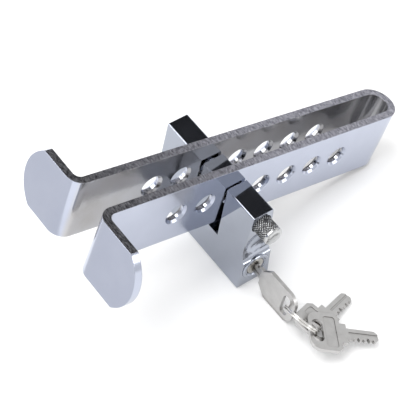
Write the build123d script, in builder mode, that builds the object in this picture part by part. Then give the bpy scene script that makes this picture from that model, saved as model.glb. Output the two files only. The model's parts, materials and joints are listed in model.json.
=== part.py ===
"""Pedal lock: a U-shaped bar of flat steel with a keyed lock block that slides along its two legs.

Frame: millimetres, +Z up, +Y to the back. The origin is the centre of the lock block's foot, on the
surface that the lock stands on. The bar's legs run along X, and its closed U end leans down to the
surface at +X. The block's key face looks along -Y.
"""
import os
from math import asin, atan2, cos, hypot, pi, radians, sin, tan

from build123d import *

# ---- driving dimensions: the bar ----------------------------------------------------------------
BAR_HEIGHT = 40.0
BAR_THICKNESS = 4.6
BEND_GAP = 15.3  # clear width inside the closed U end
LEG_SPLAY = 0.44  # degrees that each leg leans outwards from the U end to the tabs
HOLE_COUNT = 7
HOLE_PITCH = 20.3
HOLE_DIAMETER = 11.2
HOLE_BEVEL = 1.3
HOME_HOLE = 2  # the hole that the lock pin faces at rest, counted from the tabs
BEND_REACH = 115.3  # home hole to the centre of the U bend
TAB_REACH = 97.4  # home hole to the outside of the tabs
TAB_BEND_RADIUS = 4.0
TAB_WIDTH = {1: 46.4, -1: 49.6}  # from the bar's middle plane to each tab's rounded end
TAB_SHOULDER = {1: 36.4, -1: 39.6}  # where the rounded end begins
TAB_CORNER = 3.0
BAR_PLAY = 1.3  # how far the home hole stands from the pin's axis at rest

# ---- driving dimensions: the lock block -----------------------------------------------------------
BLOCK_HEIGHT = 57.8
BLOCK_TOP_WIDTH = 13.4
BLOCK_FOOT_WIDTH = 22.2
BLOCK_BACK = 40.5
BLOCK_FRONT = 39.6
BLOCK_EDGE = 0.7
SLOT_FLOOR = 21.3
SLOT_INNER = 7.45  # half the middle prong's thickness
SLOT_MOUTH = 13.85  # outer wall of each slot at its mouth
SLOT_ROOT = 15.7  # outer wall of each slot at its floor
BROW_FRONT = 37.2  # front of the upper part, which stands back for the knob
BROW_FOOT = 21.0

# ---- driving dimensions: lock pin and knob --------------------------------------------------------
PIN_HEIGHT = 49.5
PIN_DIAMETER = 8.0
PIN_TRAVEL = 9.5
PIN_TIP = 14.4  # the tip at rest, just inside the front prong
PIN_SOCKET_DEPTH = 4.4
KNOB_DIAMETER = 11.5
KNOB_REAR = 36.5
KNOB_LENGTH = 12.0
KNOB_WELL_DIAMETER = 12.7
KNOB_WELL_FLOOR = 24.0
KNURL_COUNT = 26
KNURL_LEAN = 28.0
KNURL_LENGTH = 8.2
KNURL_WIDTH = 0.5
KNURL_DEPTH = 0.35
KNURL_MIDDLE = 5.0
KNOB_SCREW_INSET = 3.0
KNOB_SCREW_RADIUS = 1.0
STUD_RADIUS = 2.5
STUD_LENGTH = 6.0
FLAT_START = 16.2
FLAT_DEPTH = 1.2
STOP_SCREW_ROOM = 1.9
STOP_SCREW_RADIUS = 1.5
RUNNING_CLEARANCE = 0.06

# ---- driving dimensions: locking bolt -------------------------------------------------------------
BOLT_FRONT = 19.5  # the bolt's axis stands this far forward of the middle plane
BOLT_FOOT_DIAMETER = 6.0
BOLT_STEM_DIAMETER = 4.0
BOLT_SHOULDER = 34.0
BOLT_LIFT = 1.4
SPRING_CEILING = 43.6
BOLT_CAM_GAP = 0.3
BOLT_SPRING_RADIUS = 2.52
BOLT_SPRING_WIRE = 0.8
BOLT_SPRING_TURNS = 6
PIN_SPRING_RADIUS = 5.0
PIN_SPRING_WIRE = 1.1
PIN_SPRING_TURNS = 5
STOP_SCREW_LENGTH = 2.4
FOOT_PLUG_SINK = 0.4
FOOT_PLUG_LENGTH = 3.6
NECK_DEPTH = 1.7
NECK_WIDTH = 4.8

# ---- driving dimensions: key cylinder and keys ----------------------------------------------------
CYLINDER_HEIGHT = 13.3
CYLINDER_DIAMETER = 16.0
BEZEL_DIAMETER = 17.6
BEZEL_SEAT = 1.6
CYLINDER_REAR = 22.7
PLUG_DIAMETER = 11.6
CAM_RADIUS = 4.2
CAM_THROW = 1.1
CAM_CHAMBER_DIAMETER = 13.2
CAM_CHAMBER_REAR = 15.6
WAFER_COUNT = 5
WAFER_FIRST = 24.6
WAFER_PITCH = 2.7
WAFER_THICKNESS = 1.1
WAFER_WIDTH = 5.5
WAFER_GROOVE = 0.9
KEYWAY_DEPTH = 16.4
TAIL_LENGTH = 4.0
TAIL_RADIUS = 2.6
CAM_SCREW_RADIUS = 1.1
CAM_SCREW_LENGTH = 4.0
SHELL_SCREW_FRONT = 32.0
SHELL_SCREW_RADIUS = 1.5
KEY_TURN = 5.0  # degrees that the inserted key leans at rest
KEY_THICKNESS = 2.2
BLADE_WIDTH = 7.4
BLADE_LENGTH = 18.3
TIP_CHAMFER = 1.9
SLOT_LENGTH = 15.0
# a bow's slot to blade, width, shoulder, slot to rounded end, end's corner radius, and slot width
MAIN_BOW = (22.2, 21.8, 6.0, 7.0, 7.0, 5.6)
SPARE_BOW = (13.3, 25.4, 2.5, 5.0, 6.0, 6.2)
MAIN_SLOT_FRONT = 68.3
MAIN_BLADE_RISE = 2.3
COLLAR_WIDTH = 13.0
COLLAR_LENGTH = 3.7
PANEL_BORDER = 2.4
PANEL_DEPTH = 0.3
BIT_START = 3.2
BIT_PITCH = 2.9
WARD_WIDTH = 1.3
RING_WIRE = 1.25
COIL_OFFSET = 0.59  # each turn of the ring stands this far from its middle plane

# ---- the bar's place ------------------------------------------------------------------------------
bend_inner = BEND_GAP / 2
bend_outer = bend_inner + BAR_THICKNESS
nose_reach = BEND_REACH + bend_outer - BAR_PLAY
half_height = BAR_HEIGHT / 2
# the bar turns about the pin's axis until the lower edge of its U end touches the surface
bar_tilt = asin(PIN_HEIGHT / hypot(nose_reach, half_height)) - atan2(half_height, nose_reach)
bar_along = Vector(cos(bar_tilt), 0, -sin(bar_tilt))
bar_up = Vector(sin(bar_tilt), 0, cos(bar_tilt))
home_hole = Vector(0, 0, PIN_HEIGHT + 0.1) - bar_along * BAR_PLAY
bar_plane = Plane(origin=home_hole, x_dir=bar_along, z_dir=bar_up)

# ---- where the loose keys hang ------------------------------------------------------------------------
LOOP_AT_MAIN = Vector(-2.01, -69.9, 12.82)  # the ring's middle line where it passes through the inserted key
LOOP_AT_SPARE_2 = Vector(2.55, -92.03, 11.7)
RING_UP = Vector(-0.558, -0.183, 0.809)
SPARE_PLACES = {  # number: (middle of the slot, direction of the blade, direction across the bow)
    1: (Vector(3.9, -87.7, 8.99), Vector(0.946, 0.255, -0.201), Vector(0.241, -0.966, -0.093)),
    2: (Vector(3.06, -91.23, 11.6), Vector(0.822, -0.531, -0.205), Vector(-0.526, -0.846, 0.083)),
}

os.makedirs("parts", exist_ok=True)


def save(piece, label):
    piece.part.label = label
    export_step(piece.part, f"parts/{label}.step")


def facing_front(height, forward=0.0, across=0.0):
    """A plane that looks along -Y, with its own y pointing up."""
    return Plane(origin=(across, -forward, height), x_dir=(1, 0, 0), z_dir=(0, -1, 0))


def turn(steps, height, mode=Mode.ADD):
    """Turn a profile about a front-to-back axis: steps are (forward of the middle plane, radius)."""
    side = Plane(origin=(0, 0, height), x_dir=(0, -1, 0), z_dir=(1, 0, 0))
    with BuildSketch(side) as profile:
        with BuildLine():
            Polyline((steps[0][0], 0), *steps, (steps[-1][0], 0), close=True)
        make_face()
    revolve(profile.sketch, axis=Axis((0, 0, height), (0, -1, 0)), mode=mode)


def drill(height, start, length, diameter):
    """A round hole along Y, from start forwards."""
    with BuildSketch(facing_front(height, start)) as hole:
        Circle(diameter / 2)
    extrude(hole.sketch, amount=length, mode=Mode.SUBTRACT)


# ---- u_bar ----------------------------------------------------------------------------------------
splay = radians(LEG_SPLAY)


def strip_outline(depth):
    """One side of the folded strip: depth 0 is the face inside the U, the thickness is the other."""
    radius = bend_inner + depth
    tab_x = depth - TAB_REACH
    touch = (BEND_REACH + radius * sin(splay), radius * cos(splay))
    fold_y = touch[1] + (touch[0] - tab_x) * tan(splay)
    CenterArc((BEND_REACH, 0), radius, LEG_SPLAY - 90, 180 - 2 * LEG_SPLAY)
    for side, width in TAB_WIDTH.items():
        FilletPolyline(
            (tab_x, side * width),
            (tab_x, side * fold_y),
            (touch[0], side * touch[1]),
            radius=TAB_BEND_RADIUS + BAR_THICKNESS - depth,
        )


with BuildPart() as u_bar:
    with BuildSketch(bar_plane.offset(-half_height)):
        with BuildLine():
            strip_outline(0)
            strip_outline(BAR_THICKNESS)
            for side, width in TAB_WIDTH.items():
                Line((-TAB_REACH, side * width), (BAR_THICKNESS - TAB_REACH, side * width))
        make_face()
    extrude(amount=BAR_HEIGHT)
    # rounded ends of the two tabs
    for side, width in TAB_WIDTH.items():
        shoulder = TAB_SHOULDER[side]
        end_plane = Plane(
            origin=home_hole - bar_along * (TAB_REACH + 1), x_dir=(0, side, 0), z_dir=bar_along
        )
        with BuildSketch(end_plane):
            with Locations((shoulder + 15, 0)):
                Rectangle(30, BAR_HEIGHT + 2)
            with BuildLine(mode=Mode.PRIVATE) as round_end:
                ThreePointArc((shoulder, -half_height), (width, 0), (shoulder, half_height))
                Polyline(
                    (shoulder, half_height), (0, half_height), (0, -half_height), (shoulder, -half_height)
                )
            with BuildSketch(mode=Mode.PRIVATE) as tab_face:
                make_face(round_end.line.edges())
                tips = tab_face.vertices().group_by(Axis.X)[-1]
                fillet(tips, TAB_CORNER)
            add(tab_face.sketch, mode=Mode.SUBTRACT)
        extrude(amount=BAR_THICKNESS + 2, mode=Mode.SUBTRACT)
    # the row of holes through both legs, bevelled outside and inside
    for number in range(HOLE_COUNT):
        reach = (number - HOME_HOLE) * HOLE_PITCH
        centre = home_hole + bar_along * reach
        leg_face = bend_inner + (BEND_REACH - reach) * tan(splay)
        with BuildSketch(Plane(origin=centre, x_dir=bar_along, z_dir=(0, -1, 0))):
            Circle(HOLE_DIAMETER / 2)
        extrude(amount=30, both=True, mode=Mode.SUBTRACT)
        with BuildPart(mode=Mode.SUBTRACT):
            for side in (1, -1):
                for face, outwards in ((leg_face, -1), (leg_face + BAR_THICKNESS, 1)):
                    rim = Vector(centre.X, side * face, centre.Z)
                    bevel_plane = Plane(origin=rim, x_dir=bar_along, z_dir=(0, side * outwards, 0))
                    with BuildSketch(bevel_plane.offset(-HOLE_BEVEL)):
                        Circle(HOLE_DIAMETER / 2)
                    with BuildSketch(bevel_plane.offset(0.4)):
                        Circle(HOLE_DIAMETER / 2 + HOLE_BEVEL + 0.4)
                    loft()
save(u_bar, "u_bar")

# ---- lock_body ------------------------------------------------------------------------------------
with BuildPart() as lock_body:
    with BuildSketch(Plane.XZ.offset(-BLOCK_BACK)):
        with BuildLine():
            Polyline(
                (-BLOCK_FOOT_WIDTH / 2, 0),
                (BLOCK_FOOT_WIDTH / 2, 0),
                (BLOCK_TOP_WIDTH / 2, BLOCK_HEIGHT),
                (-BLOCK_TOP_WIDTH / 2, BLOCK_HEIGHT),
                close=True,
            )
        make_face()
    extrude(amount=BLOCK_BACK + BLOCK_FRONT)
    # the two slots that the legs stand in
    with BuildSketch(Plane.YZ):
        for side in (1, -1):
            with BuildLine():
                Polyline(
                    (side * SLOT_INNER, BLOCK_HEIGHT + 1),
                    (side * SLOT_INNER, SLOT_FLOOR),
                    (side * SLOT_ROOT, SLOT_FLOOR),
                    (side * SLOT_MOUTH, BLOCK_HEIGHT),
                    (side * SLOT_MOUTH, BLOCK_HEIGHT + 1),
                    close=True,
                )
            make_face()
    extrude(amount=BLOCK_FOOT_WIDTH, both=True, mode=Mode.SUBTRACT)
    # the brow over the cylinder stands back, and its foot sweeps out to the cylinder's face
    with BuildSketch(Plane.YZ):
        with BuildLine():
            Line((-BROW_FRONT, BLOCK_HEIGHT + 1), (-BLOCK_FRONT - 2, BLOCK_HEIGHT + 1))
            Line((-BLOCK_FRONT - 2, BLOCK_HEIGHT + 1), (-BLOCK_FRONT - 2, BROW_FOOT))
            Line((-BLOCK_FRONT - 2, BROW_FOOT), (-BLOCK_FRONT, BROW_FOOT))
            Spline(
                (-BLOCK_FRONT, BROW_FOOT),
                (-BROW_FRONT - 0.2, BROW_FOOT + 3.2),
                (-BROW_FRONT + 0.7, BROW_FOOT + 10),
                (-BROW_FRONT + 0.6, BROW_FOOT + 20),
                (-BROW_FRONT, BLOCK_HEIGHT + 1),
            )
        make_face()
    extrude(amount=BLOCK_FOOT_WIDTH, both=True, mode=Mode.SUBTRACT)
    # thumb scoop between knob and cylinder
    with BuildSketch(Plane(origin=(0, -BLOCK_FRONT - 10.5, 33), x_dir=(0, 1, 0), z_dir=(1, 0, 0))):
        with BuildLine():
            CenterArc((0, 0), 15.5, -90, 180)
            Line((0, 15.5), (0, -15.5))
        make_face()
    revolve(axis=Axis((0, -BLOCK_FRONT - 10.5, 33), (0, 0, 1)), mode=Mode.SUBTRACT)
    fillet(lock_body.edges().filter_by(Axis.Y).group_by(Axis.Z)[-1], BLOCK_EDGE)
    fillet(lock_body.edges().filter_by(Axis.Y).group_by(Axis.Z)[0], BLOCK_EDGE)
    # knob well, pin bore through to the front slot, and the pin's socket in the middle prong
    drill(PIN_HEIGHT, KNOB_WELL_FLOOR, 30, KNOB_WELL_DIAMETER)
    drill(PIN_HEIGHT, SLOT_INNER - PIN_SOCKET_DEPTH, 40, PIN_DIAMETER + 2 * RUNNING_CLEARANCE)
    # cylinder bore, its face ring seat, and the cam chamber behind it
    drill(CYLINDER_HEIGHT, CYLINDER_REAR, 30, CYLINDER_DIAMETER)
    drill(CYLINDER_HEIGHT, BLOCK_FRONT - BEZEL_SEAT, 10, BEZEL_DIAMETER)
    drill(CYLINDER_HEIGHT, CAM_CHAMBER_REAR, 8, CAM_CHAMBER_DIAMETER)
    # the bolt's shaft, drilled from the foot, stepped for the bolt's stem and spring
    with BuildSketch(Plane.XY):
        with Locations((0, -BOLT_FRONT)):
            Circle(BOLT_FOOT_DIAMETER / 2 + RUNNING_CLEARANCE)
    extrude(amount=SPRING_CEILING, mode=Mode.SUBTRACT)
    with BuildSketch(Plane.XY.offset(SPRING_CEILING - 1)):
        with Locations((0, -BOLT_FRONT)):
            Circle(BOLT_STEM_DIAMETER / 2 + RUNNING_CLEARANCE)
    extrude(amount=PIN_HEIGHT - SPRING_CEILING + 1, mode=Mode.SUBTRACT)
    # tapped holes: cylinder grub screw from the foot, stop screw from the hidden side
    with BuildSketch(Plane.XY):
        with Locations((0, -SHELL_SCREW_FRONT)):
            Circle(SHELL_SCREW_RADIUS)
    extrude(amount=6, mode=Mode.SUBTRACT)
    with BuildSketch(Plane.YZ):
        with Locations((-FLAT_START - STOP_SCREW_ROOM, PIN_HEIGHT)):
            Circle(STOP_SCREW_RADIUS)
    extrude(amount=12, mode=Mode.SUBTRACT)
save(lock_body, "lock_body")

# ---- lock_pin -------------------------------------------------------------------------------------
# two necks, one for each end of the travel, take the locking bolt's tip
pin_radius = PIN_DIAMETER / 2
neck_radius = pin_radius - NECK_DEPTH
locked_neck = BOLT_FRONT + PIN_TRAVEL
pin_steps = [(PIN_TIP, pin_radius - 1), (PIN_TIP + 1, pin_radius)]
for station in (BOLT_FRONT, locked_neck):
    pin_steps += [
        (station - NECK_WIDTH / 2, pin_radius),
        (station - NECK_WIDTH / 2, neck_radius),
        (station + NECK_WIDTH / 2, neck_radius),
        (station + NECK_WIDTH / 2, pin_radius),
    ]
pin_steps += [
    (KNOB_REAR, pin_radius),
    (KNOB_REAR, STUD_RADIUS),
    (KNOB_REAR + STUD_LENGTH, STUD_RADIUS),
]
with BuildPart() as lock_pin:
    turn(pin_steps, PIN_HEIGHT)
    # flat on the hidden side, along which the stop screw lets the pin travel
    with BuildSketch(facing_front(PIN_HEIGHT, FLAT_START)):
        with Locations((pin_radius, 0)):
            Rectangle(2 * FLAT_DEPTH, PIN_DIAMETER)
    extrude(amount=PIN_TRAVEL + 2 * STOP_SCREW_ROOM, mode=Mode.SUBTRACT)
save(lock_pin, "lock_pin")

# ---- pull_knob ------------------------------------------------------------------------------------
knob_radius = KNOB_DIAMETER / 2
knob_end = KNOB_REAR + KNOB_LENGTH
knob_steps = [
    (KNOB_REAR, knob_radius - 0.4),
    (KNOB_REAR + 0.4, knob_radius),
    (knob_end - 1.2, knob_radius),
    (knob_end - 0.5, knob_radius - 0.5),
    (knob_end - 0.1, knob_radius - 1.9),
    (knob_end, knob_radius - 4),
]
with BuildPart() as pull_knob:
    turn(knob_steps, PIN_HEIGHT)
    # knurl: two opposed families of slanting grooves
    for lean in (-KNURL_LEAN, KNURL_LEAN):
        for number in range(KNURL_COUNT):
            angle = 2 * pi * number / KNURL_COUNT
            outwards = Vector(cos(angle), 0, sin(angle))
            centre = Vector(0, -KNOB_REAR - KNURL_MIDDLE, PIN_HEIGHT) + outwards * knob_radius
            groove_plane = Plane(origin=centre, x_dir=(0, -1, 0), z_dir=outwards)
            with BuildSketch(groove_plane.offset(-KNURL_DEPTH)):
                with Locations(Location((0, 0), lean)):
                    Rectangle(KNURL_LENGTH, KNURL_WIDTH)
            extrude(amount=1, mode=Mode.SUBTRACT)
    drill(PIN_HEIGHT, KNOB_REAR, STUD_LENGTH, 2 * STUD_RADIUS)
    with BuildSketch(Plane.XY.offset(PIN_HEIGHT)):
        with Locations((0, -KNOB_REAR - KNOB_SCREW_INSET)):
            Circle(KNOB_SCREW_RADIUS)
    extrude(amount=KNOB_DIAMETER, mode=Mode.SUBTRACT)
save(pull_knob, "pull_knob")

# ---- knob_screw: grub screw that holds the knob on the pin's stud ----------------------------------
with BuildPart() as knob_screw:
    with BuildSketch(Plane.XY.offset(PIN_HEIGHT + STUD_RADIUS)):
        with Locations((0, -KNOB_REAR - KNOB_SCREW_INSET)):
            Circle(KNOB_SCREW_RADIUS)
    extrude(amount=knob_radius - STUD_RADIUS - 0.6)
save(knob_screw, "knob_screw")

# ---- pin_spring: pushes the knob out of its well ---------------------------------------------------
with BuildPart() as pin_spring:
    spring_path = Helix(
        pitch=(KNOB_REAR - KNOB_WELL_FLOOR - PIN_SPRING_WIRE) / PIN_SPRING_TURNS,
        height=KNOB_REAR - KNOB_WELL_FLOOR - PIN_SPRING_WIRE,
        radius=PIN_SPRING_RADIUS,
        center=(0, -KNOB_WELL_FLOOR - PIN_SPRING_WIRE / 2, PIN_HEIGHT),
        direction=(0, -1, 0),
    )
    with BuildSketch(Plane(origin=spring_path @ 0, z_dir=spring_path % 0)):
        Circle(PIN_SPRING_WIRE / 2)
    sweep(path=spring_path)
save(pin_spring, "pin_spring")

# ---- pin_stop_screw: its tip rides in the pin's flat -----------------------------------------------
stop_screw_y = -(FLAT_START + STOP_SCREW_ROOM)
with BuildPart() as pin_stop_screw:
    with BuildSketch(Plane.YZ.offset(pin_radius - FLAT_DEPTH + 0.2)):
        with Locations((stop_screw_y, PIN_HEIGHT)):
            Circle(STOP_SCREW_RADIUS - 0.35)
    extrude(amount=FLAT_DEPTH + 0.2)
    with BuildSketch(Plane.YZ.offset(pin_radius + 0.2)):
        with Locations((stop_screw_y, PIN_HEIGHT)):
            Circle(STOP_SCREW_RADIUS)
    extrude(amount=STOP_SCREW_LENGTH)
    with BuildSketch(Plane.YZ.offset(pin_radius + 0.2 + STOP_SCREW_LENGTH)):
        with Locations((stop_screw_y, PIN_HEIGHT)):
            RegularPolygon(0.75, 6)
    extrude(amount=-1.2, mode=Mode.SUBTRACT)
save(pin_stop_screw, "pin_stop_screw")

# ---- locking_bolt ----------------------------------------------------------------------------------
bolt_foot = CYLINDER_HEIGHT + CAM_RADIUS + BOLT_CAM_GAP
bolt_tip = PIN_HEIGHT - pin_radius - 0.15
with BuildPart() as locking_bolt:
    with BuildSketch(Plane.XY.offset(bolt_foot)):
        with Locations((0, -BOLT_FRONT)):
            Circle(BOLT_FOOT_DIAMETER / 2)
    extrude(amount=BOLT_SHOULDER - bolt_foot)
    with BuildSketch(Plane.XY.offset(BOLT_SHOULDER)):
        with Locations((0, -BOLT_FRONT)):
            Circle(BOLT_STEM_DIAMETER / 2)
    extrude(amount=bolt_tip - BOLT_SHOULDER)
    chamfer(locking_bolt.edges().group_by(Axis.Z)[-1], 0.4)
save(locking_bolt, "locking_bolt")

# ---- bolt_spring: presses the bolt down on the cam --------------------------------------------------
with BuildPart() as bolt_spring:
    spring_path = Helix(
        pitch=(SPRING_CEILING - BOLT_SHOULDER - BOLT_SPRING_WIRE) / BOLT_SPRING_TURNS,
        height=SPRING_CEILING - BOLT_SHOULDER - BOLT_SPRING_WIRE,
        radius=BOLT_SPRING_RADIUS,
        center=(0, -BOLT_FRONT, BOLT_SHOULDER + BOLT_SPRING_WIRE / 2),
    )
    with BuildSketch(Plane(origin=spring_path @ 0, z_dir=spring_path % 0)):
        Circle(BOLT_SPRING_WIRE / 2)
    sweep(path=spring_path)
save(bolt_spring, "bolt_spring")

# ---- foot_plug: closes the bolt's shaft in the block's foot -----------------------------------------
with BuildPart() as foot_plug:
    with BuildSketch(Plane.XY.offset(FOOT_PLUG_SINK)):
        with Locations((0, -BOLT_FRONT)):
            Circle(BOLT_FOOT_DIAMETER / 2 + RUNNING_CLEARANCE)
    extrude(amount=FOOT_PLUG_LENGTH)
    with BuildSketch(Plane.XY.offset(FOOT_PLUG_SINK)):
        with Locations((0, -BOLT_FRONT)):
            RegularPolygon(1.7, 6)
    extrude(amount=2, mode=Mode.SUBTRACT)
save(foot_plug, "foot_plug")

# ---- cylinder_shell --------------------------------------------------------------------------------
shell_radius = CYLINDER_DIAMETER / 2
plug_radius = PLUG_DIAMETER / 2
shell_front = BLOCK_FRONT - BEZEL_SEAT
with BuildPart() as cylinder_shell:
    turn([(CYLINDER_REAR, shell_radius), (shell_front, shell_radius)], CYLINDER_HEIGHT)
    drill(CYLINDER_HEIGHT, CYLINDER_REAR, 30, PLUG_DIAMETER + 2 * RUNNING_CLEARANCE)
    # wafer grooves above and below the plug
    with BuildSketch(facing_front(CYLINDER_HEIGHT, WAFER_FIRST - 1)):
        Rectangle(WAFER_WIDTH + 0.4, PLUG_DIAMETER + 2 * WAFER_GROOVE)
    extrude(amount=(WAFER_COUNT - 1) * WAFER_PITCH + 3, mode=Mode.SUBTRACT)
    # dimple for the grub screw
    with BuildSketch(Plane.XY.offset(CYLINDER_HEIGHT - shell_radius - 1)):
        with Locations((0, -SHELL_SCREW_FRONT)):
            Circle(SHELL_SCREW_RADIUS - 0.3)
    extrude(amount=1.9, mode=Mode.SUBTRACT)
save(cylinder_shell, "cylinder_shell")

# ---- shell_screw: grub screw from the foot that holds the shell ---------------------------------------
with BuildPart() as shell_screw:
    with BuildSketch(Plane.XY.offset(0.6)):
        with Locations((0, -SHELL_SCREW_FRONT)):
            Circle(SHELL_SCREW_RADIUS)
    extrude(amount=CYLINDER_HEIGHT - shell_radius - 0.9)
    with BuildSketch(Plane.XY.offset(CYLINDER_HEIGHT - shell_radius - 0.3)):
        with Locations((0, -SHELL_SCREW_FRONT)):
            Circle(SHELL_SCREW_RADIUS - 0.45)
    extrude(amount=0.9)
    with BuildSketch(Plane.XY.offset(0.6)):
        with Locations((0, -SHELL_SCREW_FRONT)):
            RegularPolygon(0.85, 6)
    extrude(amount=1.4, mode=Mode.SUBTRACT)
save(shell_screw, "shell_screw")

# ---- cylinder_bezel: raised face ring round the plug --------------------------------------------------
bezel_radius = BEZEL_DIAMETER / 2
bezel_steps = [
    (shell_front, bezel_radius),
    (BLOCK_FRONT + 0.3, bezel_radius),
    (BLOCK_FRONT + 0.8, bezel_radius - 0.5),
    (BLOCK_FRONT + 0.8, bezel_radius - 1.7),
    (BLOCK_FRONT + 0.1, bezel_radius - 2.2),
]
with BuildPart() as cylinder_bezel:
    turn(bezel_steps, CYLINDER_HEIGHT)
    drill(CYLINDER_HEIGHT, CYLINDER_REAR, 30, PLUG_DIAMETER + 2 * RUNNING_CLEARANCE)
save(cylinder_bezel, "cylinder_bezel")

# ---- the plug's own axes: they lean with the key -------------------------------------------------------
lean = radians(KEY_TURN)
key_up = Vector(sin(lean), 0, cos(lean))
key_side = Vector(cos(lean), 0, -sin(lean))


def plug_face(forward):
    """A plane across the plug, looking along -Y, with its own y along the keyway."""
    return Plane(origin=(0, -forward, CYLINDER_HEIGHT), x_dir=key_side, z_dir=(0, -1, 0))


# ---- cylinder_plug -------------------------------------------------------------------------------------
plug_front = BLOCK_FRONT + 0.3
plug_steps = [
    (CYLINDER_REAR - TAIL_LENGTH, TAIL_RADIUS),
    (CYLINDER_REAR, TAIL_RADIUS),
    (CYLINDER_REAR, plug_radius),
    (plug_front - 0.5, plug_radius),
    (plug_front, plug_radius - 0.5),
]
with BuildPart() as cylinder_plug:
    turn(plug_steps, CYLINDER_HEIGHT)
    with BuildSketch(plug_face(plug_front - KEYWAY_DEPTH)):
        Rectangle(KEY_THICKNESS + 0.3, BLADE_WIDTH + 0.3)
    extrude(amount=30, mode=Mode.SUBTRACT)
    for number in range(WAFER_COUNT):
        with BuildSketch(plug_face(WAFER_FIRST + number * WAFER_PITCH)):
            Rectangle(WAFER_WIDTH, 2 * plug_radius + 2)
        extrude(amount=WAFER_THICKNESS + 0.1, mode=Mode.SUBTRACT)
    # flats on the tail that drive the cam
    with BuildSketch(plug_face(CYLINDER_REAR - TAIL_LENGTH)):
        for side in (-1, 1):
            with Locations((side * TAIL_RADIUS, 0)):
                Rectangle(TAIL_RADIUS * 0.6, 2 * TAIL_RADIUS)
    extrude(amount=TAIL_LENGTH - 0.4, mode=Mode.SUBTRACT)
    drill(CYLINDER_HEIGHT, CYLINDER_REAR - TAIL_LENGTH, CAM_SCREW_LENGTH, 2 * CAM_SCREW_RADIUS)
save(cylinder_plug, "cylinder_plug")

# ---- wafer_tumblers: five windowed plates held level by the key ------------------------------------------
with BuildPart() as wafer_tumblers:
    for number in range(WAFER_COUNT):
        with BuildSketch(plug_face(WAFER_FIRST + 0.05 + number * WAFER_PITCH)):
            Rectangle(WAFER_WIDTH - 0.1, 2 * plug_radius - 1.6)
            Rectangle(KEY_THICKNESS + 0.5, BLADE_WIDTH + 0.5, mode=Mode.SUBTRACT)
        extrude(amount=WAFER_THICKNESS)
save(wafer_tumblers, "wafer_tumblers")

# ---- lock_cam: the lobe that lifts the bolt ----------------------------------------------------------------
cam_rear = CYLINDER_REAR - TAIL_LENGTH
with BuildPart() as lock_cam:
    with BuildSketch(plug_face(cam_rear)):
        Circle(CAM_RADIUS)
        with Locations((-CAM_THROW, 0)):
            Circle(CAM_RADIUS)
    extrude(amount=TAIL_LENGTH - 0.4)
    with BuildSketch(plug_face(cam_rear)):
        Rectangle(TAIL_RADIUS * 1.4, 2 * TAIL_RADIUS)
    extrude(amount=TAIL_LENGTH - 0.4, mode=Mode.SUBTRACT)
save(lock_cam, "lock_cam")

# ---- cam_screw ---------------------------------------------------------------------------------------------
with BuildPart() as cam_screw:
    turn(
        [(cam_rear - 1.0, 3.2), (cam_rear, 3.2), (cam_rear, CAM_SCREW_RADIUS),
         (cam_rear + CAM_SCREW_LENGTH, CAM_SCREW_RADIUS)],
        CYLINDER_HEIGHT,
    )
    with BuildSketch(plug_face(cam_rear - 1.0)):
        Rectangle(0.8, 8)
    extrude(amount=0.5, mode=Mode.SUBTRACT)
save(cam_screw, "cam_screw")


# ---- keys ------------------------------------------------------------------------------------------------
def cut_key(key_plane, bow, bits, blade_rise=0.0, bordered=True):
    """A flat key: its plane's origin is the middle of the bow's slot, x runs to the tip."""
    bow_front, bow_width, shoulder, bow_rear, corner, slot_width = bow
    blade_start = bow_front + (COLLAR_LENGTH if bordered else 0)
    tip = blade_start + BLADE_LENGTH
    half_blade = BLADE_WIDTH / 2
    with BuildSketch(key_plane) as outline:
        with Locations(((bow_front - bow_rear) / 2, 0)):
            Rectangle(bow_front + bow_rear, bow_width)
        fillet(outline.vertices().group_by(Axis.X)[0], corner)
        chamfer(outline.vertices().group_by(Axis.X)[-1], shoulder)
        if bordered:
            with Locations((bow_front + COLLAR_LENGTH / 2 - 1, 0)):
                Rectangle(COLLAR_LENGTH + 2, COLLAR_WIDTH)
        with BuildLine():
            Polyline(
                (blade_start - 1, blade_rise + half_blade),
                (tip - TIP_CHAMFER, blade_rise + half_blade),
                (tip, blade_rise + half_blade - TIP_CHAMFER),
                (tip, blade_rise - half_blade + TIP_CHAMFER),
                (tip - TIP_CHAMFER, blade_rise - half_blade),
                (blade_start - 1, blade_rise - half_blade),
                close=True,
            )
        make_face()
        edge = blade_rise + half_blade
        for number, depth in enumerate(bits):
            bit = blade_start + BIT_START + number * BIT_PITCH
            with BuildLine():
                Polyline(
                    (bit - 1.2, edge + 0.1),
                    (bit - 0.35, edge - depth),
                    (bit + 0.35, edge - depth),
                    (bit + 1.2, edge + 0.1),
                    close=True,
                )
            make_face(mode=Mode.SUBTRACT)
        SlotOverall(SLOT_LENGTH, slot_width, rotation=90, mode=Mode.SUBTRACT)
    extrude(outline.sketch, amount=KEY_THICKNESS / 2, both=True)
    for face in (1, -1):
        # the warding groove along the blade, and the sunk panel on a bordered bow
        with BuildSketch(key_plane.offset(face * KEY_THICKNESS / 2)) as hollows:
            with Locations(((blade_start + tip) / 2 + 1, blade_rise - 0.6)):
                Rectangle(BLADE_LENGTH, WARD_WIDTH)
            if bordered:
                panel_start = slot_width / 2 + 1
                panel_end = bow_front - PANEL_BORDER
                with Locations(((panel_start + panel_end) / 2, 0)):
                    RectangleRounded(panel_end - panel_start, bow_width - 2 * PANEL_BORDER, 1.6)
        extrude(hollows.sketch, amount=-face * PANEL_DEPTH, mode=Mode.SUBTRACT)


main_slot = Vector(0, -MAIN_SLOT_FRONT, CYLINDER_HEIGHT) - key_up * MAIN_BLADE_RISE
main_plane = Plane(origin=main_slot, x_dir=(0, 1, 0), z_dir=key_side)
with BuildPart() as inserted_key:
    cut_key(main_plane, MAIN_BOW, (1.6, 0.9, 2.0, 1.2, 0.7), blade_rise=MAIN_BLADE_RISE, bordered=False)
save(inserted_key, "inserted_key")

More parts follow.
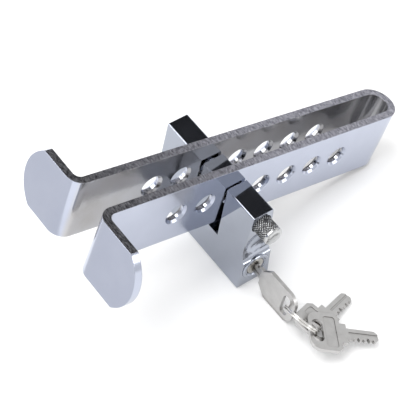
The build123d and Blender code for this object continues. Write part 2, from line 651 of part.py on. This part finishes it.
# ---- key_ring: two turns of wire side by side, threaded through the three bows ----------------------------
ring_middle = (LOOP_AT_MAIN + LOOP_AT_SPARE_2) * 0.5
ring_along = (LOOP_AT_SPARE_2 - LOOP_AT_MAIN).normalized()
ring_radius = (LOOP_AT_SPARE_2 - LOOP_AT_MAIN).length / 2
ring_normal = RING_UP.cross(ring_along).normalized()
ring_up = ring_along.cross(ring_normal)
with BuildPart() as key_ring:
    with BuildSketch(Plane(origin=ring_middle, x_dir=ring_along, z_dir=ring_normal.cross(ring_along))):
        for side in (-1, 1):
            with Locations((ring_radius, side * COIL_OFFSET)):
                Circle(RING_WIRE / 2)
    revolve(axis=Axis(ring_middle, ring_normal))
save(key_ring, "key_ring")

# ---- spare keys: one lies on the other ---------------------------------------------------------------------
spare_bits = {1: (1.2, 2.0, 0.8, 1.6, 1.0), 2: (0.8, 1.6, 1.1, 2.0, 1.3)}
for number, (slot_middle, along, across) in SPARE_PLACES.items():
    with BuildPart() as spare_key:
        cut_key(Plane(slot_middle, x_dir=along, z_dir=along.cross(across)), SPARE_BOW, spare_bits[number])
    save(spare_key, f"spare_key_{number}")
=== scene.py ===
import json
from math import cos, sin, tau

import bpy
from mathutils import Matrix, Vector


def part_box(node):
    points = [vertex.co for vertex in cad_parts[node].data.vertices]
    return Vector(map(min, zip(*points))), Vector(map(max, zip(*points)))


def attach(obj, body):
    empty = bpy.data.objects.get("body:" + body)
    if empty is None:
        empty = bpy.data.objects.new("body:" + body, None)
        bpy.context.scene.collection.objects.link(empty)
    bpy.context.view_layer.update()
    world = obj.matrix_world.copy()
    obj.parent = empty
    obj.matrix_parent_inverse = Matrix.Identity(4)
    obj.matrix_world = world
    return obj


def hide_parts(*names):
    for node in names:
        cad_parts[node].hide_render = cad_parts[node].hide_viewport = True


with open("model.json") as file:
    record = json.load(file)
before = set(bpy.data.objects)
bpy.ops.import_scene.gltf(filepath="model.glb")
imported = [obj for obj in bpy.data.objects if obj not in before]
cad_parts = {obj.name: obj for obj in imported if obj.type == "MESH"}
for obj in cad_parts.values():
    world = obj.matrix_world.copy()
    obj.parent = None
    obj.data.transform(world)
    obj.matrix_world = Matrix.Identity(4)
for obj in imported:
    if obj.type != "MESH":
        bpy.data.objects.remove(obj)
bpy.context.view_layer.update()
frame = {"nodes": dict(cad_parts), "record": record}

MM = 0.001
joints = {joint["name"]: joint for joint in frame["record"]["behaviour"]["joints"]}
bar_along = Vector(joints["bar_slide"]["axis"]).normalized()
bar_up = Vector((-bar_along.z, 0, bar_along.x))

# ---- camera ---------------------------------------------------------------------------------------
CAMERA_PLACE = Vector((-376.36, -367.70, 698.12)) * MM
CAMERA_RIGHT = Vector((0.79520, -0.59560, 0.11364))
CAMERA_UP = Vector((0.42137, 0.67760, 0.60275))
CAMERA_BACK = Vector((-0.43600, -0.43142, 0.78980))
LENS_MM = 132.585
SENSOR_MM = 36
CLIP_END = 20

camera = bpy.data.objects.new("camera", bpy.data.cameras.new("camera"))
camera.data.lens = LENS_MM
camera.data.sensor_width = SENSOR_MM
camera.data.clip_end = CLIP_END
turn = Matrix((CAMERA_RIGHT, CAMERA_UP, CAMERA_BACK)).transposed()
camera.matrix_world = Matrix.Translation(CAMERA_PLACE) @ turn.to_4x4()
bpy.context.collection.objects.link(camera)
bpy.context.scene.camera = camera
bpy.context.scene.view_settings.view_transform = "Standard"

# ---- colours of the metals ------------------------------------------------------------------------
BAR_FACE = (0.49, 0.52, 0.615)
BAR_FACE_SMUDGE = (0.45, 0.48, 0.575)
BAR_INSIDE = (0.52, 0.525, 0.55)
BAR_INSIDE_SMUDGE = (0.44, 0.43, 0.43)
BEND_EDGE, BEND_EDGE_TEAR = (0.46, 0.46, 0.52), (0.13, 0.13, 0.16)
TAB_EDGE, TAB_EDGE_TEAR = (0.14, 0.14, 0.15), (0.006, 0.006, 0.008)
# the second colour is shade painted into the knurl's grooves, not the plate's own colour
KNOB_RIDGE, KNOB_GROOVE_SHADE = (0.50, 0.505, 0.51), (0.05, 0.05, 0.05)
# painted shade: the colour that the nickel's gaps and recesses darken towards
GAP_PAINTED_SHADE = (0.10, 0.09, 0.08)

# ---- sizes of the metals' marks -------------------------------------------------------------------
LEG_MIDDLE = (0.0098, 0.0112)  # how far from the bar's middle plane the inside turns into the outside
EDGE_FADE = (-0.095, 0.03)  # along X, the sheared edges go from dark at the tabs to grey at the bend
KNURL_RIDGES = 22
KNURL_SLOPE = 620  # ridges crossed in a metre along the knob
# how far the painted shade in the nickel's gaps reaches
GAP_SHADE_REACH = 3.5 * MM

# ---- split ring -----------------------------------------------------------------------------------
RING_WIRE_RADIUS = 0.62 * MM
COIL_OFFSET = 0.59 * MM
RING_START = -2.2  # radians round the ring, where the wire begins
POINTS_PER_TURN = 64
RING_POINTS = 2 * POINTS_PER_TURN - 3
JOGGLE_POINTS = 0.08 * POINTS_PER_TURN

# ---- studio ---------------------------------------------------------------------------------------
CARD_DISTANCE = 0.9
CARD_ROUGHNESS = 0.9
FLOOR_DROP = 0.2 * MM
WORLD_STRENGTH = 0.95


# ---- material tools -------------------------------------------------------------------------------
class Surface:
    """A metal's node tree, with noise, ramps and bumps laid out in the model's frame, in metres."""

    def __init__(self, name, color, roughness, metallic=1.0, edge=0.0):
        self.material = bpy.data.materials.new(name)
        self.material.use_nodes = True
        self.tree = self.material.node_tree
        self.shader = self.tree.nodes["Principled BSDF"]
        self.shader.inputs["Base Color"].default_value = (*color, 1)
        self.shader.inputs["Roughness"].default_value = roughness
        self.shader.inputs["Metallic"].default_value = metallic
        self.place = self.node("ShaderNodeTexCoord")
        self.normal = None
        if edge:
            bevel = self.node("ShaderNodeBevel")
            bevel.samples = 6
            bevel.inputs["Radius"].default_value = edge
            self.normal = bevel.outputs["Normal"]
            self.link(self.normal, self.shader.inputs["Normal"])

    def node(self, kind, **values):
        node = self.tree.nodes.new(kind)
        for key, value in values.items():
            setattr(node, key, value)
        return node

    def link(self, source, target):
        self.tree.links.new(source, target)

    def noise(self, scale, detail=3.0, roughness=0.55):
        """Noise whose grain is one over scale, in metres: one scale, or one each for X, Y and Z."""
        mapping = self.node("ShaderNodeMapping")
        mapping.inputs["Scale"].default_value = scale if isinstance(scale, tuple) else (scale, scale, scale)
        self.link(self.place.outputs["Object"], mapping.inputs["Vector"])
        noise = self.node("ShaderNodeTexNoise")
        noise.inputs["Scale"].default_value = 1
        noise.inputs["Detail"].default_value = detail
        noise.inputs["Roughness"].default_value = roughness
        self.link(mapping.outputs["Vector"], noise.inputs["Vector"])
        return noise.outputs["Fac"]

    def spread(self, value, low, high, start=0.3, end=0.7):
        """Turns a value between start and end into one between low and high."""
        spread = self.node("ShaderNodeMapRange")
        for key, number in (("From Min", start), ("From Max", end), ("To Min", low), ("To Max", high)):
            spread.inputs[key].default_value = number
        self.link(value, spread.inputs["Value"])
        return spread.outputs["Result"]

    def math(self, operation, first, second=0.0):
        node = self.node("ShaderNodeMath", operation=operation)
        for socket, value in zip(node.inputs, (first, second)):
            if isinstance(value, (int, float)):
                socket.default_value = value
            else:
                self.link(value, socket)
        return node.outputs["Value"]

    def times(self, first, second):
        return self.math("MULTIPLY", first, second)

    def mix(self, factor, first, second):
        """A mix of two colours by a factor."""
        node = self.node("ShaderNodeMix", data_type="RGBA")
        self.link(factor, node.inputs["Factor"])
        for name, value in (("A", first), ("B", second)):
            socket = [s for s in node.inputs if s.name == name and s.type == "RGBA"][0]
            if isinstance(value, tuple):
                socket.default_value = (*value, 1)
            else:
                self.link(value, socket)
        return [s for s in node.outputs if s.type == "RGBA"][0]

    def coordinate(self, axis):
        """How far a point lies along one axis of the model's frame, in metres."""
        split = self.node("ShaderNodeSeparateXYZ")
        self.link(self.place.outputs["Object"], split.inputs["Vector"])
        return split.outputs[axis]

    def facing(self, direction, start, end):
        """1 where the surface looks along direction or against it, 0 where it looks elsewhere."""
        dot = self.node("ShaderNodeVectorMath", operation="DOT_PRODUCT")
        dot.inputs[1].default_value = direction
        self.link(self.place.outputs["Normal"], dot.inputs[0])
        return self.spread(self.math("ABSOLUTE", dot.outputs["Value"]), 0, 1, start, end)

    def shaded(self, source, reach, dark):
        """Darkens a colour in grooves and gaps narrower than reach, in metres."""
        closeness = self.node("ShaderNodeAmbientOcclusion")
        closeness.samples = 8
        closeness.inputs["Distance"].default_value = reach
        return self.mix(self.spread(closeness.outputs["AO"], 0, 1, 0.35, 0.95), dark, source)

    def bump(self, height, depth, strength=1.0):
        """Adds relief of a depth in metres on top of what is there."""
        bump = self.node("ShaderNodeBump")
        bump.inputs["Distance"].default_value = depth
        bump.inputs["Strength"].default_value = strength
        self.link(height, bump.inputs["Height"])
        if self.normal is not None:
            self.link(self.normal, bump.inputs["Normal"])
        self.normal = bump.outputs["Normal"]
        self.link(self.normal, self.shader.inputs["Normal"])

    def color(self, source):
        self.link(source, self.shader.inputs["Base Color"])

    def roughness(self, source):
        self.link(source, self.shader.inputs["Roughness"])


# ---- materials ------------------------------------------------------------------------------------
def chrome(name, tint, haze, edge):
    """Polished chrome plate: a mirror with smudges, and faint ripples and scratches from grinding."""
    metal = Surface(name, tint, haze, edge=edge)
    smudge = metal.noise(55, detail=4, roughness=0.6)
    scratch = metal.noise((240, 240, 2600), detail=2)
    metal.roughness(metal.spread(smudge, haze * 0.7, haze * 1.9))
    darker = tuple(channel * 0.93 for channel in tint)
    metal.color(metal.mix(metal.spread(smudge, 0, 1), tint, darker))
    metal.bump(metal.noise(30, detail=1), 0.22 * MM, 0.5)
    metal.bump(scratch, 0.004 * MM, 0.5)
    return metal.material


def bar_chrome():
    """The bar's plate: mirror faces, and sheared edges whose tear marks the plating doesn't hide."""
    metal = Surface("bar_chrome", BAR_FACE, 0.1, edge=0.5 * MM)
    sheared = metal.facing(bar_up, 0.86, 0.93)
    polished = metal.math("SUBTRACT", 1, sheared)
    smudge = metal.noise(45, detail=4, roughness=0.6)
    tears = metal.noise((1100, 260, 1100), detail=3, roughness=0.7)
    pits = metal.noise(1900, detail=2)
    face_haze = metal.times(metal.spread(smudge, 0.07, 0.2), polished)
    edge_haze = metal.times(metal.spread(tears, 0.2, 0.42), sheared)
    metal.roughness(metal.math("ADD", face_haze, edge_haze))

    inside = metal.spread(metal.math("ABSOLUTE", metal.coordinate("Y")), 1, 0, *LEG_MIDDLE)
    clean = metal.mix(inside, BAR_FACE, BAR_INSIDE)
    smudged = metal.mix(inside, BAR_FACE_SMUDGE, BAR_INSIDE_SMUDGE)
    face_color = metal.mix(metal.spread(smudge, 0, 1), clean, smudged)
    speckle = metal.spread(metal.noise((1500, 420, 900), detail=4, roughness=0.75), 0, 1, 0.4, 0.6)
    bend_edge = metal.mix(speckle, BEND_EDGE, BEND_EDGE_TEAR)
    tab_edge = metal.mix(speckle, TAB_EDGE, TAB_EDGE_TEAR)
    edge_color = metal.mix(metal.spread(metal.coordinate("X"), 0, 1, *EDGE_FADE), tab_edge, bend_edge)
    metal.color(metal.mix(sheared, face_color, edge_color))

    metal.bump(metal.noise(26, detail=1), 0.25 * MM, 0.5)
    relief = metal.math("ADD", tears, metal.times(pits, 0.4))
    metal.bump(metal.times(relief, sheared), 0.3 * MM)
    return metal.material


def knurled_chrome():
    """The knob's plate, with shade painted dark between the crossed ridges of its knurl."""
    metal = Surface("knob_chrome", KNOB_RIDGE, 0.14, edge=0.1 * MM)
    low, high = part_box("pull_knob")
    middle, length, diameter = (low + high) / 2, high.y - low.y, high.x - low.x
    sideways = metal.math("SUBTRACT", metal.coordinate("X"), middle.x)
    upward = metal.math("SUBTRACT", metal.coordinate("Z"), middle.z)
    around = metal.times(metal.math("ARCTAN2", upward, sideways), KNURL_RIDGES / tau)
    forward = metal.times(metal.coordinate("Y"), KNURL_SLOPE)
    one_way = metal.math("PINGPONG", metal.math("ADD", around, forward), 0.5)
    other_way = metal.math("PINGPONG", metal.math("SUBTRACT", around, forward), 0.5)
    relief = metal.times(metal.times(one_way, other_way), 4)
    squares = metal.math("ADD", metal.times(sideways, sideways), metal.times(upward, upward))
    on_side = metal.spread(metal.math("SQRT", squares), 0, 1, diameter * 0.42, diameter * 0.46)
    behind_lip = metal.spread(metal.coordinate("Y"), 0, 1, low.y + length * 0.16, low.y + length * 0.2)
    knurled = metal.times(on_side, behind_lip)
    # painted shade: the colour goes dark in the knurl's grooves
    groove_shade = metal.times(metal.spread(relief, 1, 0, 0.1, 0.45), knurled)
    metal.color(metal.mix(groove_shade, KNOB_RIDGE, KNOB_GROOVE_SHADE))
    metal.roughness(metal.spread(metal.noise(90, detail=3), 0.1, 0.24))
    metal.bump(metal.times(relief, knurled), 0.3 * MM, 0.8)
    return metal.material


def satin_nickel(name, tint, haze=0.36):
    """Nickel plate: a soft sheen, grain from tumbling, worn brighter patches, and shade painted dark into
    the gaps.
    """
    metal = Surface(name, tint, haze, edge=0.18 * MM)
    wear = metal.noise(190, detail=4, roughness=0.65)
    metal.roughness(metal.spread(wear, haze * 0.75, haze * 1.25))
    bright = tuple(channel * 1.2 for channel in tint)
    worn = metal.mix(metal.spread(wear, 0, 1), tint, bright)
    # painted shade: ambient occlusion darkens the colour in gaps and recesses, such as between the stacked
    # keys
    metal.color(metal.shaded(worn, GAP_SHADE_REACH, GAP_PAINTED_SHADE))
    metal.bump(metal.noise(2400, detail=3, roughness=0.7), 0.03 * MM, 0.8)
    return metal.material


def turned_steel(name, tint, haze, metallic=1.0):
    """Machined or drawn steel or brass for pins, springs, screws, wafers and cams."""
    metal = Surface(name, tint, haze, metallic=metallic, edge=0.12 * MM)
    lines = metal.noise((700, 3200, 700), detail=2)
    metal.roughness(metal.spread(metal.noise(260, detail=3), haze * 0.75, haze * 1.3))
    dull = tuple(channel * 0.85 for channel in tint)
    metal.color(metal.mix(metal.spread(lines, 0, 1), tint, dull))
    metal.bump(lines, 0.01 * MM, 0.6)
    return metal.material


MATERIALS = {
    "bar_chrome": bar_chrome(),
    "block_chrome": chrome("block_chrome", (0.38, 0.405, 0.465), 0.07, 0.45 * MM),
    "knob_chrome": knurled_chrome(),
    "cylinder_nickel": satin_nickel("cylinder_nickel", (0.45, 0.44, 0.41), 0.28),
    "key_nickel": satin_nickel("key_nickel", (0.46, 0.455, 0.45)),
    "ring_steel": chrome("ring_steel", (0.72, 0.71, 0.69), 0.12, 0),
    "hardened_steel": turned_steel("hardened_steel", (0.50, 0.51, 0.53), 0.24),
    "spring_steel": turned_steel("spring_steel", (0.42, 0.42, 0.44), 0.32),
    "screw_steel": turned_steel("screw_steel", (0.05, 0.05, 0.055), 0.45, metallic=0.4),
    "wafer_brass": turned_steel("wafer_brass", (0.72, 0.55, 0.24), 0.3),
}
for part in frame["record"]["subparts"]:
    piece = frame["nodes"][part["node"]]
    for slot in piece.material_slots:
        slot.material = MATERIALS[part["material_slot"]]


# ---- split ring -----------------------------------------------------------------------------------
def split_ring():
    """One wire of two turns side by side, which crosses from the first to the second in a short joggle."""
    main_loop, spare_loop = (Vector(joints[name]["pos_m"]) for name in ("ring_swing", "spare_2_swing"))
    middle = (main_loop + spare_loop) / 2
    radius = (spare_loop - main_loop).length / 2
    along = (spare_loop - main_loop).normalized()
    normal = Vector(joints["ring_swing"]["axis"]).cross(along).normalized()
    up = along.cross(normal)
    curve = bpy.data.curves.new("split_ring", "CURVE")
    curve.dimensions = "3D"
    curve.bevel_depth = RING_WIRE_RADIUS
    curve.bevel_resolution = 6
    curve.use_fill_caps = True
    spline = curve.splines.new("POLY")
    spline.points.add(RING_POINTS - 1)
    for number, point in enumerate(spline.points):
        angle = tau * number / POINTS_PER_TURN + RING_START
        past_joggle = (number - (RING_POINTS - 1) / 2) / JOGGLE_POINTS
        side = COIL_OFFSET * max(-1.0, min(1.0, past_joggle))
        place = middle + (along * cos(angle) + up * sin(angle)) * radius + normal * side
        point.co = (*place, 1)
    ring = bpy.data.objects.new("split_ring", curve)
    bpy.context.collection.objects.link(ring)
    ring.data.materials.append(MATERIALS["ring_steel"])
    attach(ring, "ring")
    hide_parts("key_ring")


split_ring()


# ---- stage: floor, lights and the cards that the chrome reflects ------------------------------------
def flat_piece(name, centre, size, facing, color, roughness):
    """A rectangle of one colour that looks along facing."""
    material = bpy.data.materials.new(name)
    material.use_nodes = True
    shader = material.node_tree.nodes["Principled BSDF"]
    shader.inputs["Base Color"].default_value = (*color, 1)
    shader.inputs["Roughness"].default_value = roughness
    mesh = bpy.data.meshes.new(name)
    half_x, half_y = size[0] / 2, size[1] / 2
    corners = [(-half_x, -half_y, 0), (half_x, -half_y, 0), (half_x, half_y, 0), (-half_x, half_y, 0)]
    mesh.from_pydata(corners, [], [(0, 1, 2, 3)])
    mesh.materials.append(material)
    piece = bpy.data.objects.new(name, mesh)
    bpy.context.collection.objects.link(piece)
    piece.location = centre
    piece.rotation_euler = Vector(facing).to_track_quat("Z", "Y").to_euler()
    return piece


def reflected_card(name, centre, size, facing, color):
    """A card that only reflections see."""
    card = flat_piece(name, centre, size, facing, color, CARD_ROUGHNESS)
    card.visible_camera = False
    card.visible_diffuse = False
    card.visible_shadow = False


def soft_light(name, centre, size, aim, power):
    light = bpy.data.lights.new(name, "AREA")
    light.shape = "RECTANGLE"
    light.size, light.size_y = size
    light.energy = power
    lamp = bpy.data.objects.new(name, light)
    lamp.location = centre
    lamp.rotation_euler = (Vector(aim) - Vector(centre)).to_track_quat("-Z", "Y").to_euler()
    bpy.context.collection.objects.link(lamp)


flat_piece("floor", (0, 0, -FLOOR_DROP), (6, 6), (0, 0, 1), (0.93, 0.93, 0.93), 0.8)

world = bpy.data.worlds.new("studio")
bpy.context.scene.world = world
world.use_nodes = True
world.node_tree.nodes["Background"].inputs["Color"].default_value = (1, 1, 1, 1)
world.node_tree.nodes["Background"].inputs["Strength"].default_value = WORLD_STRENGTH

soft_light("key_light", (-0.5, 0.25, 1.3), (0.9, 0.9), (0, 0, 0), 12)
soft_light("left_strip", (-0.86, 0.47, 0.48), (0.3, 0.6), (0, 0, 0.05), 1.6)
soft_light("right_strip", (0.48, -0.86, 0.47), (0.6, 0.3), (0, 0, 0.05), 1.8)
# dark card up behind the lock: the prongs' flat tops reflect it to the camera
seen_in_tops = Vector((-CAMERA_BACK.x, -CAMERA_BACK.y, CAMERA_BACK.z))
reflected_card("top_card", seen_in_tops * CARD_DISTANCE, (0.3, 0.3), -seen_in_tops, (0.012, 0.012, 0.014))
# grey card flat on the floor, out of the picture at the left: the tabs reflect it
reflected_card("tab_card", (-0.25, 0.09, MM), (0.24, 0.26), (0, 0, 1), (0.62, 0.62, 0.63))
